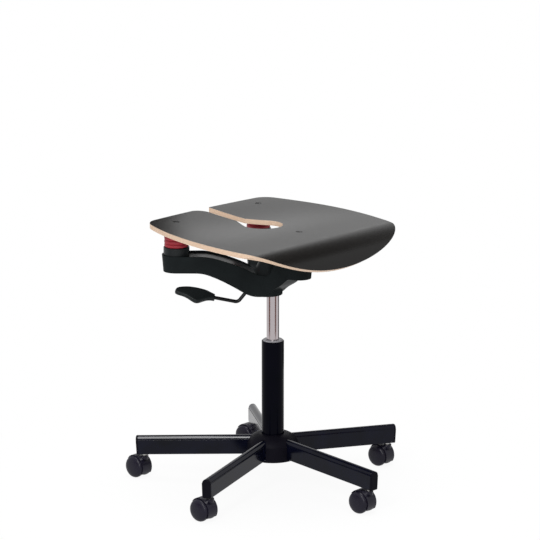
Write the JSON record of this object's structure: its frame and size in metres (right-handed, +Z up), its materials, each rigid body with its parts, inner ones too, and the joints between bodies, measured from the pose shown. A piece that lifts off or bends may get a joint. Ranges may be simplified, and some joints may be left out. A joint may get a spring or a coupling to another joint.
{
  "type": "adjustable stool",
  "caption": "Height-adjustable swivel stool with a slotted black plywood seat on red rubber mounts, a gas column and a castered five-arm base.",
  "frame": {"origin": "on the floor, under the axis of the column", "axes": "+Z up along the column, the sitter faces -Y, +X to the sitter's left"},
  "size_m": [0.6094, 0.6083, 0.6074],
  "materials": {
    "gloss_black_steel": "gloss black enamel",
    "black_plastic": "fine-grained moulded black",
    "caster_plastic": "satin moulded black",
    "grey_plastic": "pale grey moulding",
    "chrome": "polished",
    "bare_steel": "bright turned steel",
    "black_steel": "satin black",
    "red_rubber": "matt red",
    "black_rubber": "matt black",
    "seat_plywood": "black laminate faces, clear beech edges"
  },
  "bodies": {
    "base": {"base_hub": "gloss_black_steel", "hub_cover": "black_plastic", "base_arm_1": "gloss_black_steel", "base_arm_2": "gloss_black_steel", "base_arm_3": "gloss_black_steel", "base_arm_4": "gloss_black_steel", "base_arm_5": "gloss_black_steel", "arm_end_caps": "black_plastic", "caster_sockets": "bare_steel", "column_tube": "gloss_black_steel", "column_bush": "grey_plastic", "thrust_bearing": "bare_steel"},
    "spindle": {"piston_rod": "bare_steel", "piston": "bare_steel", "retaining_clip": "bare_steel"},
    "lift": {"gas_cylinder": "chrome", "carrier_housing": "black_plastic", "carrier_cover": "black_plastic", "lever_pin": "bare_steel", "pivot_block": "black_steel", "rear_collar_left": "black_plastic", "rear_collar_right": "black_plastic", "rear_boot_left": "red_rubber", "rear_boot_right": "red_rubber", "rear_buffer_left": "black_rubber", "rear_buffer_right": "black_rubber"},
    "lever": {"lever_rod": "black_steel", "lever_paddle": "black_plastic"},
    "valve": {"valve_pin": "bare_steel"},
    "seat": {"seat_shell": "seat_plywood", "seat_screws": "black_steel", "rear_cup_left": "black_steel", "rear_cup_right": "black_steel", "seat_bracket": "black_steel", "pivot_pin": "bare_steel"},
    "caster_1": {"caster_hood_1": "caster_plastic", "caster_stem_1": "bare_steel", "caster_axle_1": "bare_steel"},
    "wheel_left_1": {"caster_wheel_left_1": "caster_plastic"},
    "wheel_right_1": {"caster_wheel_right_1": "caster_plastic"},
    "caster_2": {"caster_hood_2": "caster_plastic", "caster_stem_2": "bare_steel", "caster_axle_2": "bare_steel"},
    "wheel_left_2": {"caster_wheel_left_2": "caster_plastic"},
    "wheel_right_2": {"caster_wheel_right_2": "caster_plastic"},
    "caster_3": {"caster_hood_3": "caster_plastic", "caster_stem_3": "bare_steel", "caster_axle_3": "bare_steel"},
    "wheel_left_3": {"caster_wheel_left_3": "caster_plastic"},
    "wheel_right_3": {"caster_wheel_right_3": "caster_plastic"},
    "caster_4": {"caster_hood_4": "caster_plastic", "caster_stem_4": "bare_steel", "caster_axle_4": "bare_steel"},
    "wheel_left_4": {"caster_wheel_left_4": "caster_plastic"},
    "wheel_right_4": {"caster_wheel_right_4": "caster_plastic"},
    "caster_5": {"caster_hood_5": "caster_plastic", "caster_stem_5": "bare_steel", "caster_axle_5": "bare_steel"},
    "wheel_left_5": {"caster_wheel_left_5": "caster_plastic"},
    "wheel_right_5": {"caster_wheel_right_5": "caster_plastic"}
  },
  "joints": [
    {"name": "seat_swivel", "type": "hinge", "parent": "base", "child": "spindle", "pos_m": [0, 0, 0.07], "axis": [0, 0, 1], "continuous": true},
    {"name": "height", "type": "slide", "parent": "spindle", "child": "lift", "axis": [0, 0, 1], "range_m": [-0.095, 0.015]},
    {"name": "lever_lift", "type": "hinge", "parent": "lift", "child": "lever", "pos_m": [-0.03064, 0.02571, 0.47135], "axis": [0.6428, 0.766, 0], "range_deg": [0, 3.6], "stiffness_Nm_per_rad": 4, "springref_deg": -2.86},
    {"name": "valve_press", "type": "slide", "parent": "lift", "child": "valve", "axis": [0, 0, -1], "range_m": [0, 0.0026]},
    {"name": "seat_rock", "type": "hinge", "parent": "lift", "child": "seat", "pos_m": [0, -0.076, 0.555], "axis": [1, 0, 0], "range_deg": [-3, 1], "stiffness_Nm_per_rad": 1500, "deforming": ["rear_boot_left", "rear_boot_right", "rear_buffer_left", "rear_buffer_right"]},
    {"name": "caster_swivel_1", "type": "hinge", "parent": "base", "child": "caster_1", "pos_m": [-0.02168, -0.2952, 0.05], "axis": [0, 0, 1], "continuous": true},
    {"name": "wheel_left_1_spin", "type": "hinge", "parent": "caster_1", "child": "wheel_left_1", "pos_m": [-0.02168, -0.2772, 0.025], "axis": [1, 0, 0], "continuous": true},
    {"name": "wheel_right_1_spin", "type": "hinge", "parent": "caster_1", "child": "wheel_right_1", "pos_m": [-0.02168, -0.2772, 0.025], "axis": [1, 0, 0], "continuous": true},
    {"name": "caster_swivel_2", "type": "hinge", "parent": "base", "child": "caster_2", "pos_m": [0.27406, -0.11184, 0.05], "axis": [0, 0, 1], "continuous": true},
    {"name": "wheel_left_2_spin", "type": "hinge", "parent": "caster_2", "child": "wheel_left_2", "pos_m": [0.27406, -0.09384, 0.025], "axis": [1, 0, 0], "continuous": true},
    {"name": "wheel_right_2_spin", "type": "hinge", "parent": "caster_2", "child": "wheel_right_2", "pos_m": [0.27406, -0.09384, 0.025], "axis": [1, 0, 0], "continuous": true},
    {"name": "caster_swivel_3", "type": "hinge", "parent": "base", "child": "caster_3", "pos_m": [0.19106, 0.22608, 0.05], "axis": [0, 0, 1], "continuous": true},
    {"name": "wheel_left_3_spin", "type": "hinge", "parent": "caster_3", "child": "wheel_left_3", "pos_m": [0.19106, 0.24408, 0.025], "axis": [1, 0, 0], "continuous": true},
    {"name": "wheel_right_3_spin", "type": "hinge", "parent": "caster_3", "child": "wheel_right_3", "pos_m": [0.19106, 0.24408, 0.025], "axis": [1, 0, 0], "continuous": true},
    {"name": "caster_swivel_4", "type": "hinge", "parent": "base", "child": "caster_4", "pos_m": [-0.15598, 0.25157, 0.05], "axis": [0, 0, 1], "continuous": true},
    {"name": "wheel_left_4_spin", "type": "hinge", "parent": "caster_4", "child": "wheel_left_4", "pos_m": [-0.15598, 0.26957, 0.025], "axis": [1, 0, 0], "continuous": true},
    {"name": "wheel_right_4_spin", "type": "hinge", "parent": "caster_4", "child": "wheel_right_4", "pos_m": [-0.15598, 0.26957, 0.025], "axis": [1, 0, 0], "continuous": true},
    {"name": "caster_swivel_5", "type": "hinge", "parent": "base", "child": "caster_5", "pos_m": [-0.28746, -0.07061, 0.05], "axis": [0, 0, 1], "continuous": true},
    {"name": "wheel_left_5_spin", "type": "hinge", "parent": "caster_5", "child": "wheel_left_5", "pos_m": [-0.28746, -0.05261, 0.025], "axis": [1, 0, 0], "continuous": true},
    {"name": "wheel_right_5_spin", "type": "hinge", "parent": "caster_5", "child": "wheel_right_5", "pos_m": [-0.28746, -0.05261, 0.025], "axis": [1, 0, 0], "continuous": true}
  ],
  "couplings": [
    {"joint": "valve_press", "follows": "lever_lift", "m_per_rad": 0.04}
  ]
}
